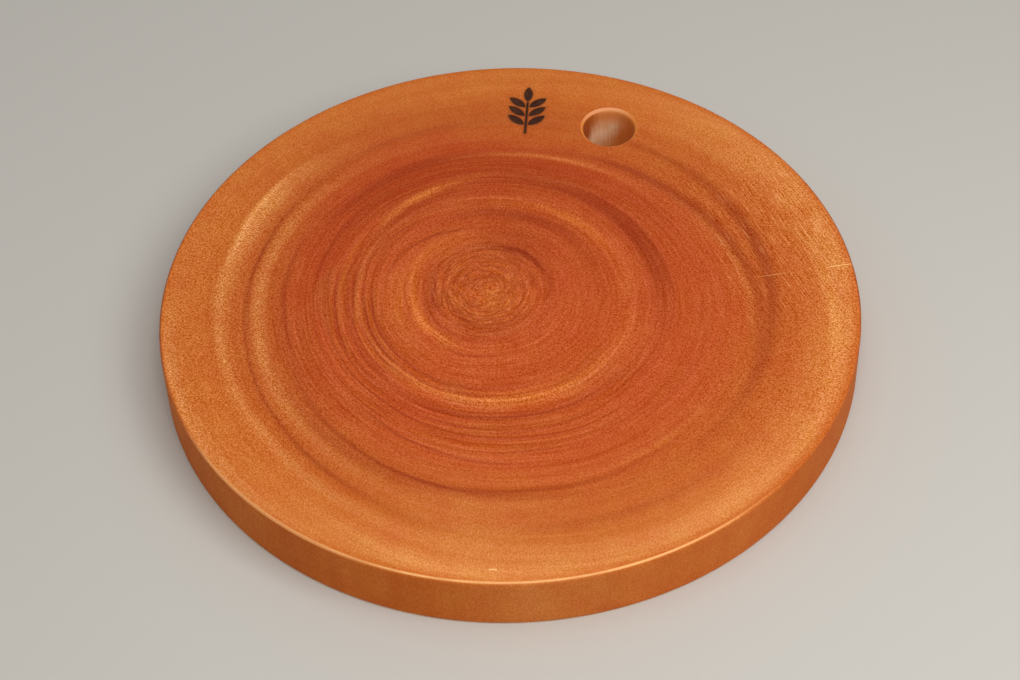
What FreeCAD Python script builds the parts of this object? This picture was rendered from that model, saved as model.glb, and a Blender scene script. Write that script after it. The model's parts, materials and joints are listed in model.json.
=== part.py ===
"""Round chopping block: one slab cut across a log.

The real object is a single piece of wood. The slab is turned round, its two rims are eased,
a hanging hole is drilled through near the rim and chamfered at both mouths, and a leaf sprig
is burned a little way into the work face beside the hole.

Frame, in millimetres: the origin is the centre of the face that the block rests on,
+Z points up out of the work face, and the hanging hole lies on +Y.
"""

import FreeCAD, Part
import math
import os

import Sketcher

# Driving dimensions in millimetres, angles in degrees, and one count
SIZES = (
    ("block_diameter", 280.0, "across the round slab"),
    ("block_thickness", 25.0, "resting face to work face"),
    ("work_rim_rounding", 1.5, "radius of the rim at the work face"),
    ("resting_rim_rounding", 1.5, "radius of the rim at the resting face"),
    ("hole_diameter", 22.0, "hanging hole, at its wall"),
    ("hole_rim_wall", 20.0, "wood left between the hole and the rim"),
    ("hole_chamfer", 1.2, "45 degree chamfer at both mouths of the hole"),
    ("mark_inset", 28.0, "rim to the middle of the burned mark"),
    ("mark_bearing", 19.1, "angle from the hole to the mark, about the block's axis"),
    ("mark_depth", 0.3, "how deep the mark is burned"),
    ("mark_height", 29.0, "foot of the stem to the tip of the top leaf"),
    ("stem_width", 0.9, "across the stem"),
    ("leaf_length", 9.0, "foot to tip of a leaf"),
    ("leaf_width", 3.6, "across the middle of a leaf"),
    ("leaf_spread", 50.0, "angle of a side leaf from the stem"),
    ("leaf_gap", 0.4, "bare wood between the stem and a leaf's foot"),
    ("leaf_rise", 5.5, "foot of the stem to the first pair of leaves"),
    ("leaf_pitch", 5.5, "one pair of leaves to the next"),
    ("leaf_pairs", 3, "pairs of side leaves"),
)
SAME_PLACE = 1e-6  # two edges closer than this are one
QUARTER_TURN = math.pi / 2
PARTS_FOLDER = "parts"


def make_sheet(doc):
    """Put every driving dimension in a cell of its own, under its alias."""
    sheet = doc.addObject("Spreadsheet::Sheet", "Sizes")
    for row, (alias, value, meaning) in enumerate(SIZES, start=1):
        sheet.set(f"A{row}", meaning)
        sheet.set(f"B{row}", str(value))
        sheet.setAlias(f"B{row}", alias)
    doc.recompute()
    return sheet


def new_sketch(body, name):
    """Add a sketch that lies on the body's own XY plane, which is the resting face."""
    sketch = body.newObject("Sketcher::SketchObject", name)
    plane = next(f for f in body.Origin.OriginFeatures if f.Role == "XY_Plane")
    sketch.AttachmentSupport = [(plane, "")]
    sketch.MapMode = "FlatFace"
    return sketch


def start_of(curve):
    """The start point of a sketch's curve, as constraints name it."""
    return curve, 1


def end_of(curve):
    """The end point of a sketch's curve, as constraints name it."""
    return curve, 2


def centre_of(curve):
    """The centre of a sketch's circle or arc, as constraints name it."""
    return curve, 3


def hold_at_origin(sketch, curve):
    """Hold a circle's centre at the sketch's origin, which is point 1 of its curve -1."""
    sketch.addConstraint(Sketcher.Constraint("Coincident", *centre_of(curve), -1, 1))


def hold_on_upright_axis(sketch, curve):
    """Hold a circle's or arc's centre on the sketch's Y axis, which is its curve -2."""
    sketch.addConstraint(Sketcher.Constraint("PointOnObject", *centre_of(curve), -2))


def join(sketch, kind, first_point, second_point):
    """Make two curves' ends meet, either at any angle or smoothly."""
    sketch.addConstraint(Sketcher.Constraint(kind, *first_point, *second_point))


def constrain(sketch, name, formula, *constraint):
    """Add a named dimension to a sketch and bind it to the sheet."""
    index = sketch.addConstraint(Sketcher.Constraint(*constraint))
    sketch.renameConstraint(index, name)
    sketch.setExpression(f"Constraints.{name}", formula)


def add_circle(sketch, centre, radius):
    """Add a circle to a sketch, near the place where its constraints will hold it."""
    circle = Part.Circle(FreeCAD.Vector(*centre), FreeCAD.Vector(0, 0, 1), radius)
    return sketch.addGeometry(circle, False)


def round_edges(shape, radius, height):
    """Names of the full circular edges of that radius at that height."""
    found = []
    for index, edge in enumerate(shape.Edges, start=1):
        curve = edge.Curve
        if not isinstance(curve, Part.Circle) or not edge.isClosed():
            continue
        if abs(curve.Radius - radius) < SAME_PLACE and abs(curve.Center.z - height) < SAME_PLACE:
            found.append(f"Edge{index}")
    return found


def ease(body, kind, name, base, edges, formula):
    """Fillet or chamfer some edges of a feature by a size from the sheet."""
    if not edges:
        raise RuntimeError(f"{name} found no edge to work on")
    feature = body.newObject(f"PartDesign::{kind}", name)
    feature.Base = (base, edges)
    feature.setExpression("Radius" if kind == "Fillet" else "Size", formula)
    body.Document.recompute()
    return feature


def turn_slab(body, sheet):
    """The round slab, as it comes off the log."""
    sketch = new_sketch(body, "slab_outline")
    circle = add_circle(sketch, (0, 0, 0), sheet.block_diameter / 2)
    hold_at_origin(sketch, circle)
    constrain(sketch, "across", "Sizes.block_diameter", "Diameter", circle, sheet.block_diameter)
    slab = body.newObject("PartDesign::Pad", "slab")
    slab.Profile = sketch
    slab.setExpression("Length", "Sizes.block_thickness")
    body.Document.recompute()
    return slab


def drill_hole(body, sheet):
    """The hanging hole, right through, with a chamfer at each mouth."""
    radius = sheet.hole_diameter / 2
    centre_y = sheet.block_diameter / 2 - sheet.hole_rim_wall - radius
    sketch = new_sketch(body, "hole_outline")
    circle = add_circle(sketch, (0, centre_y, 0), radius)
    hold_on_upright_axis(sketch, circle)
    constrain(
        sketch,
        "from_axis",
        "Sizes.block_diameter / 2 - Sizes.hole_rim_wall - Sizes.hole_diameter / 2",
        "DistanceY",
        *centre_of(circle),
        centre_y,
    )
    constrain(sketch, "across", "Sizes.hole_diameter", "Diameter", circle, sheet.hole_diameter)
    hole = body.newObject("PartDesign::Pocket", "hanging_hole")
    hole.Profile = sketch
    hole.Type = "ThroughAll"
    hole.Reversed = True
    body.Document.recompute()
    mouths = round_edges(hole.Shape, radius, 0)
    mouths += round_edges(hole.Shape, radius, sheet.block_thickness)
    return ease(body, "Chamfer", "hole_mouths", hole, mouths, "Sizes.hole_chamfer")


def ease_rims(body, sheet, base):
    """The rounded outer rims at the resting face and the work face."""
    radius = sheet.block_diameter / 2
    edges = round_edges(base.Shape, radius, 0)
    resting = ease(body, "Fillet", "resting_rim", base, edges, "Sizes.resting_rim_rounding")
    edges = round_edges(resting.Shape, radius, sheet.block_thickness)
    return ease(body, "Fillet", "work_rim", resting, edges, "Sizes.work_rim_rounding")


def mark_sketch(body, name):
    """A sketch on the work face with its origin at the foot of the stem and its Y axis along the stem."""
    sketch = new_sketch(body, name)
    foot = "(Sizes.block_diameter / 2 - Sizes.mark_inset - Sizes.mark_height / 2)"
    bearing = "Sizes.mark_bearing * 1 deg"
    sketch.setExpression("AttachmentOffset.Base.x", f"-{foot} * sin({bearing})")
    sketch.setExpression("AttachmentOffset.Base.y", f"{foot} * cos({bearing})")
    sketch.setExpression("AttachmentOffset.Base.z", "Sizes.block_thickness")
    sketch.setExpression("AttachmentOffset.Rotation.Angle", "Sizes.mark_bearing")
    return sketch


def burn(body, name, sketch):
    """Sink a sketch's outlines into the work face by the depth of the mark."""
    pocket = body.newObject("PartDesign::Pocket", name)
    pocket.Profile = sketch
    pocket.setExpression("Length", "Sizes.mark_depth")
    body.Document.recompute()
    return pocket


def add_leaf(sketch, sheet, name, foot, lean, foot_formulas, lean_formula):
    """Draw a leaf: two equal arcs that meet at its foot and its tip, about a construction line."""
    length, width = sheet.leaf_length, sheet.leaf_width
    along = FreeCAD.Vector(math.cos(lean), math.sin(lean), 0)
    across = FreeCAD.Vector(-math.sin(lean), math.cos(lean), 0)
    start = FreeCAD.Vector(*foot, 0)
    tip = start + along * length
    middle = start + along * (length / 2)
    midrib = sketch.addGeometry(Part.LineSegment(start, tip), True)
    constrain(sketch, f"{name}_foot_x", foot_formulas[0], "DistanceX", *start_of(midrib), foot[0])
    constrain(sketch, f"{name}_foot_y", foot_formulas[1], "DistanceY", *start_of(midrib), foot[1])
    constrain(sketch, f"{name}_length", "Sizes.leaf_length", "Distance", midrib, length)
    constrain(sketch, f"{name}_lean", lean_formula, "Angle", midrib, lean)
    flank_radius = (length**2 + width**2) / (4 * width)
    formula = "(Sizes.leaf_length ^ 2 + Sizes.leaf_width ^ 2) / (4 * Sizes.leaf_width)"
    for side, flank in ((1, "left"), (-1, "right")):
        crown = middle + across * (side * width / 2)
        ends = (tip, start) if side > 0 else (start, tip)
        arc = sketch.addGeometry(Part.Arc(ends[0], crown, ends[1]), False)
        at_foot, at_tip = (end_of, start_of) if side > 0 else (start_of, end_of)
        join(sketch, "Coincident", at_foot(arc), start_of(midrib))
        join(sketch, "Coincident", at_tip(arc), end_of(midrib))
        constrain(sketch, f"{name}_{flank}", formula, "Radius", arc, flank_radius)


def burn_stem(body, sheet):
    """The straight stem, with round ends."""
    half = sheet.stem_width / 2
    top = sheet.mark_height - sheet.leaf_length - sheet.leaf_gap - half
    sketch = mark_sketch(body, "stem_outline")
    ends = []
    for height, turn in ((half, -1), (top, 1)):
        crown = FreeCAD.Vector(0, height + turn * half, 0)
        right = FreeCAD.Vector(half, height, 0)
        left = FreeCAD.Vector(-half, height, 0)
        arc = Part.Arc(right, crown, left) if turn > 0 else Part.Arc(left, crown, right)
        ends.append(sketch.addGeometry(arc, False))
    foot, head = ends
    left_side = Part.LineSegment(FreeCAD.Vector(-half, top, 0), FreeCAD.Vector(-half, half, 0))
    right_side = Part.LineSegment(FreeCAD.Vector(half, half, 0), FreeCAD.Vector(half, top, 0))
    left = sketch.addGeometry(left_side, False)
    right = sketch.addGeometry(right_side, False)
    for first, second in ((head, left), (left, foot), (foot, right), (right, head)):
        join(sketch, "Tangent", end_of(first), start_of(second))
    for arc in ends:
        hold_on_upright_axis(sketch, arc)
    constrain(sketch, "round", "Sizes.stem_width / 2", "Radius", foot, half)
    constrain(sketch, "foot_height", "Sizes.stem_width / 2", "DistanceY", *centre_of(foot), half)
    constrain(
        sketch,
        "head_height",
        "Sizes.mark_height - Sizes.leaf_length - Sizes.leaf_gap - Sizes.stem_width / 2",
        "DistanceY",
        *centre_of(head),
        top,
    )
    return burn(body, "stem", sketch)


def burn_side_leaves(body, sheet):
    """The first pair of leaves, repeated up the stem."""
    sketch = mark_sketch(body, "leaf_pair_outline")
    foot_x = sheet.stem_width / 2 + sheet.leaf_gap
    spread = math.radians(sheet.leaf_spread)
    foot_formula = "Sizes.stem_width / 2 + Sizes.leaf_gap"
    for name, side, sign in (("right", 1, ""), ("left", -1, "-")):
        add_leaf(
            sketch,
            sheet,
            f"{name}_leaf",
            (side * foot_x, sheet.leaf_rise),
            QUARTER_TURN - side * spread,
            (f"{sign}({foot_formula})", "Sizes.leaf_rise"),
            f"90 deg - ({sign}Sizes.leaf_spread * 1 deg)",
        )
    pair = burn(body, "leaf_pair", sketch)
    rows = body.newObject("PartDesign::LinearPattern", "leaf_rows")
    rows.Originals = [pair]
    rows.Direction = (sketch, ["V_Axis"])
    rows.setExpression("Length", "Sizes.leaf_pitch * (Sizes.leaf_pairs - 1)")
    rows.setExpression("Occurrences", "Sizes.leaf_pairs")
    body.Tip = rows
    body.Document.recompute()
    return rows


def burn_top_leaf(body, sheet):
    """The leaf that stands at the head of the stem."""
    sketch = mark_sketch(body, "top_leaf_outline")
    foot = (0, sheet.mark_height - sheet.leaf_length)
    formulas = ("0", "Sizes.mark_height - Sizes.leaf_length")
    add_leaf(sketch, sheet, "top_leaf", foot, QUARTER_TURN, formulas, "90 deg")
    return burn(body, "top_leaf", sketch)


def make_block(doc, sheet):
    """The whole block, feature after feature, each of which has to take wood away."""
    body = doc.addObject("PartDesign::Body", "chopping_block")
    body.Label = "chopping_block"
    slab = turn_slab(body, sheet)
    drilled = drill_hole(body, sheet)
    eased = ease_rims(body, sheet, drilled)
    steps = [slab, drilled, eased]
    steps.append(burn_stem(body, sheet))
    steps.append(burn_side_leaves(body, sheet))
    steps.append(burn_top_leaf(body, sheet))
    body.Tip = steps[-1]
    body.Placement = FreeCAD.Placement()
    doc.recompute()
    for before, after in zip(steps, steps[1:]):
        if after.Shape.Volume >= before.Shape.Volume:
            raise RuntimeError(f"{after.Name} takes no wood away")
    return body


def check_document(doc, subparts):
    """Stop if any object failed, or any sub-part isn't one valid solid."""
    for item in doc.Objects:
        if "Invalid" in item.State or "Error" in item.State:
            raise RuntimeError(f"{item.Name} failed: {item.State}")
    for part in subparts:
        shape = part.Shape
        if shape.isNull() or not shape.isValid() or len(shape.Solids) != 1:
            raise RuntimeError(f"{part.Label} isn't one valid solid")


def main():
    doc = FreeCAD.newDocument("ChoppingBlock")
    sheet = make_sheet(doc)
    subparts = [make_block(doc, sheet)]
    check_document(doc, subparts)
    os.makedirs(PARTS_FOLDER, exist_ok=True)
    for part in subparts:
        part.Shape.exportStep(os.path.join(PARTS_FOLDER, f"{part.Label}.step"))
        box = part.Shape.optimalBoundingBox()
        print(f"{part.Label}: {box.XLength:.2f} x {box.YLength:.2f} x {box.ZLength:.2f} mm")
        print(f"volume {part.Shape.Volume:.1f} mm3, {len(part.Shape.Faces)} faces")


main()
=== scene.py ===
"""Round chopping block: the looks of one wooden slab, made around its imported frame.

Metres, in the frame's own axes: the origin is the centre of the resting face, +Z points up out of
the work face, and the hanging hole lies on +Y.
"""

import json
import math

import bpy
from mathutils import Matrix, Vector, geometry, noise


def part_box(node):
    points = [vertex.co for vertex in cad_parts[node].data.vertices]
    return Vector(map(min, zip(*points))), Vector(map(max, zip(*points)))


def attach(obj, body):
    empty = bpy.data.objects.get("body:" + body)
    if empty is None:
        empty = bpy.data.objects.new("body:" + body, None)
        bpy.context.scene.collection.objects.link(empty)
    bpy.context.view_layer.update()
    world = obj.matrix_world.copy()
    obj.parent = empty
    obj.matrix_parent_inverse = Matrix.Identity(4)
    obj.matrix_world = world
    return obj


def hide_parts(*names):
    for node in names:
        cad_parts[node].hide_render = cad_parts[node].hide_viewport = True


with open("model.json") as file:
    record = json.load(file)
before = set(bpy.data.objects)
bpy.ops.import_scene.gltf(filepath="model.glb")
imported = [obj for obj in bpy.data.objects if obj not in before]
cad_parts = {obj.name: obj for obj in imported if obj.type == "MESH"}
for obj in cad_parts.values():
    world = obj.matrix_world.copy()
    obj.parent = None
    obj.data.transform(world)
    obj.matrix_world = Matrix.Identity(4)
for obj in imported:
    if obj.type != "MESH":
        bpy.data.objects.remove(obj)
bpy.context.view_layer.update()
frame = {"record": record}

bl_info = {
    "name": "Round chopping block",
    "version": (1, 0, 0),
    "blender": (4, 5, 0),
    "location": "3D View > Sidebar > Chopping block",
    "description": "Builds a round chopping block cut across a log, and a plain stage for it",
    "category": "Object",
}

NODE = "chopping_block"
PIECE = "turned_slab"
LOW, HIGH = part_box(NODE)
HOLE = next(mount for mount in frame["record"]["mounts"] if mount["name"] == "hanging_hole")
MM = 0.001

# The photograph's frame in pixels, and where it was taken from, in degrees from -Y towards +X
PICTURE_WIDTH = 1020
PICTURE_HEIGHT = 680
FRONT_BEARING = 24.58

# The log's main rings: place, width and strength as shares, then the bearing in degrees where each is
# strongest, how far round it reaches, and how much its place climbs across that bearing
DARK_RING_SHARES = (
    (0.690, 0.008, 0.90, -160, 34, -0.015),
    (0.715, 0.020, 0.55, -146, 26, 0.0),
    (0.664, 0.009, 0.40, -122, 18, -0.060),
    (0.641, 0.010, 0.95, -92, 26, 0.008),
    (0.668, 0.022, 0.22, -100, 36, 0.0),
    (0.679, 0.007, 0.85, 172, 30, 0.025),
    (0.675, 0.017, 0.90, 72, 42, 0.040),
    (0.656, 0.016, 0.50, 45, 17, 0.0),
    (0.799, 0.010, 0.35, -142, 18, 0.0),
    (0.788, 0.008, 0.75, -118, 42, -0.034),
    (0.763, 0.010, 0.65, -75, 22, 0.0),
    (0.788, 0.020, 0.50, -24, 22, 0.020),
    (0.780, 0.014, 0.35, 156, 22, 0.030),
    (0.830, 0.060, 0.14, 8, 18, 0.0),
    (0.746, 0.015, 0.90, 70, 38, -0.045),
    (0.722, 0.008, 0.40, 86, 26, -0.030),
    (0.605, 0.024, 0.85, -28, 28, 0.020),
    (0.565, 0.016, 0.30, 36, 32, 0.0),
    (0.581, 0.005, 0.85, -160, 24, -0.042),
    (0.547, 0.004, 0.45, -116, 36, 0.0),
    (0.539, 0.010, 0.85, -54, 30, 0.004),
    (0.518, 0.006, 0.30, -60, 40, 0.0),
    (0.506, 0.004, 0.65, -100, 54, -0.008),
    (0.498, 0.008, 0.50, 60, 36, 0.0),
    (0.509, 0.004, 0.70, -150, 32, -0.004),
    (0.488, 0.004, 0.60, -148, 30, -0.004),
    (0.510, 0.026, 0.35, 18, 26, 0.0),
    (0.476, 0.024, 0.95, 55, 46, 0.0),
    (0.462, 0.022, 0.45, 76, 24, 0.0),
    (0.475, 0.005, 0.50, -138, 28, 0.0),
    (0.453, 0.005, 0.90, -172, 28, 0.012),
    (0.448, 0.005, 0.50, 160, 26, 0.0),
    (0.442, 0.006, 0.70, -116, 42, -0.010),
    (0.437, 0.004, 0.50, -160, 28, 0.0),
    (0.436, 0.010, 0.45, -30, 26, 0.0),
    (0.418, 0.020, 0.42, -42, 34, 0.0),
    (0.400, 0.004, 0.70, -128, 34, 0.0),
    (0.381, 0.005, 0.85, -56, 22, -0.045),
    (0.380, 0.003, 0.45, -112, 26, 0.0),
    (0.382, 0.004, 0.80, -146, 34, 0.0),
    (0.357, 0.006, 0.85, -128, 46, 0.0),
    (0.322, 0.024, 0.85, 28, 44, 0.0),
    (0.312, 0.006, 0.25, -80, 20, -0.012),
    (0.284, 0.006, 1.00, -38, 28, -0.055),
    (0.242, 0.004, 0.70, -170, 20, 0.0),
    (0.190, 0.006, 0.65, -126, 30, -0.010),
    (0.187, 0.004, 0.60, 34, 40, 0.0),
    (0.215, 0.080, 0.50, 30, 46, 0.0),
    (0.176, 0.013, 1.05, 36, 42, 0.012),
    (0.166, 0.010, 0.85, -90, 28, -0.020),
    (0.118, 0.008, 0.40, -138, 44, 0.0),
    (0.052, 0.007, 0.55, 30, 50, 0.0),
)
# Light rings: partly paler wood, partly painted sheen where the figure catches the light; the rows near
# bearing -177 and at 140 are painted reflected light
LIGHT_RING_AND_SHEEN_SHARES = (
    (0.880, 0.013, 0.75, -62, 15, 0.040),
    (0.848, 0.036, 0.62, -66, 24, 0.0),
    (0.866, 0.020, 0.40, -104, 28, 0.0),
    (0.856, 0.018, 0.25, -142, 22, 0.0),
    (0.930, 0.018, 0.42, -175, 22, 0.0),
    (0.815, 0.050, 0.34, -177, 13, 0.0),
    (0.724, 0.022, 0.34, -178, 12, 0.0),
    (0.845, 0.030, 0.28, 140, 13, 0.090),
    (0.875, 0.035, 0.26, 54, 20, 0.0),
    (0.850, 0.012, 0.42, 98, 18, 0.0),
    (0.731, 0.021, 0.44, -96, 52, -0.020),
    (0.666, 0.008, 0.40, 82, 24, 0.030),
    (0.651, 0.006, 0.30, 143, 12, 0.0),
    (0.640, 0.016, 0.14, 172, 20, 0.0),
    (0.560, 0.030, 0.26, -176, 14, 0.0),
    (0.611, 0.012, 0.50, 20, 24, 0.004),
    (0.462, 0.016, 1.30, -28, 20, 0.070),
    (0.458, 0.008, 0.40, -75, 24, 0.0),
    (0.404, 0.008, 0.40, -80, 20, 0.0),
    (0.396, 0.022, 0.85, 164, 36, 0.0),
    (0.394, 0.015, 0.38, -140, 40, 0.0),
    (0.380, 0.017, 0.50, 40, 42, 0.006),
    (0.290, 0.036, 0.34, -106, 34, 0.0),
    (0.283, 0.006, 0.20, -95, 30, 0.0),
    (0.265, 0.005, 0.50, -90, 28, 0.0),
    (0.240, 0.016, 0.60, -56, 28, 0.008),
    (0.224, 0.016, 0.90, -122, 40, 0.0),
    (0.075, 0.020, 0.45, 140, 40, 0.0),
    (0.030, 0.030, 0.50, 140, 80, 0.0),
    (0.000, 0.018, 0.50, -160, 150, 0.0),
)

# Wider rings, in the same columns: where the heart reaches further out, where it is darkest, and where
# fine rings are clear
LATE_HEART_SHARES = (0.75, 9.0, 0.12, -22, 30, 0.0)
DEEP_HEART_SHARES = (0.55, 0.13, 0.9, -15, 70, 0.0)
CLEAR_SIDE_SHARES = (0.3, 9.0, 0.7, -125, 80, 0.0)

# First and last ring of the change from one colour of the log to the next
HEART_SPAN = (0.09, 0.20)
MIDDLE_SPAN = (0.57, 0.74)
SAP_SPAN = (0.73, 0.98)

# How far every ring wavers on its way round, and wanders from spot to spot inside and outside the pith
RING_WAVER_SHARE = 0.014
PITH_SPAN = (0.06, 0.14)
WANDER_SHARES = (0.03, 0.003)

# Thin rings: how many to the radius, how sharp and how curled, and how far in a wide one's pale edge lies
WIDE_LINES = (34.0, 15.0)
NARROW_LINES = (72.0, 10.0)
CURLED_LINES = (58.0, 13.0, 1.3)
PALE_EDGE_SHARE = 0.007

# Noises drawn out along the rings: how coarse round the pith, how fine across the rings, how many details
# and how rough
RING_PATCHES = (1.6, 16.0)
COMING_AND_GOING = (1.6, 9.0, 1.0)
FINE_RIPPLES = (0.75, 90.0, 3.0, 0.6)
BROAD_RIPPLES = (0.175, 21.0)
HEART_GRAIN = (2.4, 175.0)
PITH_CURLS = (2.2, 70.0, 2.0, 0.6)

# Other noises: how fine to the metre, how many details and how rough
RING_WANDER = (170.0, 2.0)
MOTTLES = (85.0, 3.0)
SPECKS = (1450.0, 1.0, 0.6)
PITS = (1150.0, 1.0)
COARSE_STREAKS = (260.0, 2.0)
FINE_STREAKS = (1400.0, 2.0, 0.6)
HIGHLIGHT_PATCHES = (90.0, 3.0)
GLOSS_PATCHES = (40.0, 3.0)
PALE_WALL_PATCHES = (260.0, 2.0)
CHAR_PATCHES = (420.0, 3.0)
STREAK_STRETCH = (1.0, 1.0, 0.06)

# How far red, green and blue swing together where a spot of the wood is lighter or darker, and where it
# is redder or yellower
TONE_SWING = (0.66, 1.4, 3.3)
MOTTLE_SWING = (0.1, 0.5, 0.4)

# Turns about an upright axis, from the middle of the painted highlight on the rim
QUARTER = math.pi / 2
SHEEN_STRIP_TURN = math.radians(-61)
SOFT_HIGHLIGHT_TURN = math.radians(-43)
PALE_WALL_TURN = math.radians(192)
LIT_CHAMFER_TURN = math.radians(194)

# Marks of use on the work face
SCRATCH_START = Vector((83.7, 46.4, 0.0)) * MM
SCRATCH_END = Vector((121.0, 70.2, 0.0)) * MM
SCRATCH_WIDTH = 0.30 * MM
NICK_START = Vector((45.5, -125.6, 0.0)) * MM
NICK_END = Vector((47.7, -124.7, 0.0)) * MM
NICK_WIDTH = 0.55 * MM
SANDED_SPAN = (20 * MM, 75 * MM)
HAIRS_PER_METRE = (90.0, 2000.0, 0.0)

# Where the rays start, away from the pith, and the rings that the drill left
RAY_START_SPAN = (4 * MM, 26 * MM)
DRILL_RINGS_PER_METRE = (60.0, 60.0, 2200.0)

# Square lamps: azimuth and elevation in degrees, distance and width in metres, power in watts
SOFTBOXES = (
    ("overhead_softbox", 60, 82, 1.5, 1.4, 5.8),
    ("front_right_softbox", 72, 50, 0.95, 0.5, 3.5),
    ("rim_softbox", 30, 60, 1.1, 0.3, 2.2),
)

# The floor, how near a ray of light comes to touch it, and the camera's sensor in millimetres
FLOOR_HALF = 12.0
FLOOR_DROP = 0.1 * MM
FLOOR_FADE_SPAN = (0.32, 0.8)
TOUCHING = 0.5 * MM
SENSOR_WIDTH = 36.0


def length(name, description, default):
    """A size that a user can change, in metres."""
    return bpy.props.FloatProperty(
        name=name, description=description, default=default, min=0.0, unit="LENGTH", precision=5
    )


def turn(name, description, degrees):
    """An angle that a user can change."""
    return bpy.props.FloatProperty(
        name=name, description=description, default=math.radians(degrees), subtype="ANGLE"
    )


def share(name, description, default, most=1.0):
    """A plain number that a user can change."""
    return bpy.props.FloatProperty(name=name, description=description, default=default, min=0.0, max=most)


def linear(red, green, blue):
    """A colour as a picture writes it, from 0 to 255, turned into the renderer's own scale."""
    def channel(level):
        level = level / 255
        return level / 12.92 if level <= 0.04045 else ((level + 0.055) / 1.055) ** 2.4
    return channel(red), channel(green), channel(blue)


def colour(name, description, red, green, blue):
    """A colour that a user can change."""
    return bpy.props.FloatVectorProperty(
        name=name,
        description=description,
        default=linear(red, green, blue),
        min=0.0,
        max=1.0,
        subtype="COLOR",
    )


class BlockSizes(bpy.types.PropertyGroup):
    """Sizes of the slab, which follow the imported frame."""

    diameter: length("Diameter", "Across the round slab", HIGH.x - LOW.x)
    thickness: length("Thickness", "Resting face to work face", HIGH.z - LOW.z)
    rim_rounding: length("Rim rounding", "Radius of both rims", 1.5 * MM)
    hole_diameter: length("Hole diameter", "Hanging hole, at its wall", 2 * HOLE["dims"]["r_mm"] * MM)
    hole_reach: length("Hole reach", "Block's axis to the middle of the hole", HOLE["pos_m"][1])
    hole_chamfer: length("Hole chamfer", "Width of the chamfer at both mouths", 1.2 * MM)
    mark_inset: length("Mark inset", "Rim to the middle of the burned mark", 28 * MM)
    mark_bearing: turn("Mark bearing", "Angle from the hole to the mark", 19.1)
    mark_depth: length("Mark depth", "How deep the mark is burned", 0.3 * MM)
    mark_height: length("Mark height", "Foot of the stem to the tip of the top leaf", 29 * MM)
    stem_width: length("Stem width", "Across the stem", 0.9 * MM)
    leaf_length: length("Leaf length", "Foot to tip of a leaf", 9 * MM)
    leaf_width: length("Leaf width", "Across the middle of a leaf", 3.6 * MM)
    leaf_spread: turn("Leaf spread", "Angle of a side leaf from the stem", 50)
    leaf_gap: length("Leaf gap", "Bare wood between the stem and a leaf", 0.4 * MM)
    leaf_rise: length("Leaf rise", "Foot of the stem to the first pair of leaves", 5.5 * MM)
    leaf_pitch: length("Leaf pitch", "One pair of leaves to the next", 5.5 * MM)
    leaf_pairs: bpy.props.IntProperty(name="Leaf pairs", description="Pairs of side leaves", default=3, min=1)
    face_pitch: length("Work face pitch", "Spacing of the work face's points", 1.25 * MM)
    rest_pitch: length("Resting face pitch", "Spacing of the resting face's points", 2.8 * MM)
    mark_pitch: length("Mark pitch", "Spacing of the points in and near the mark", 0.45 * MM)
    sanding: length("Sanding", "How far hand sanding leaves the work face off flat", 0.05 * MM)


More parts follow.
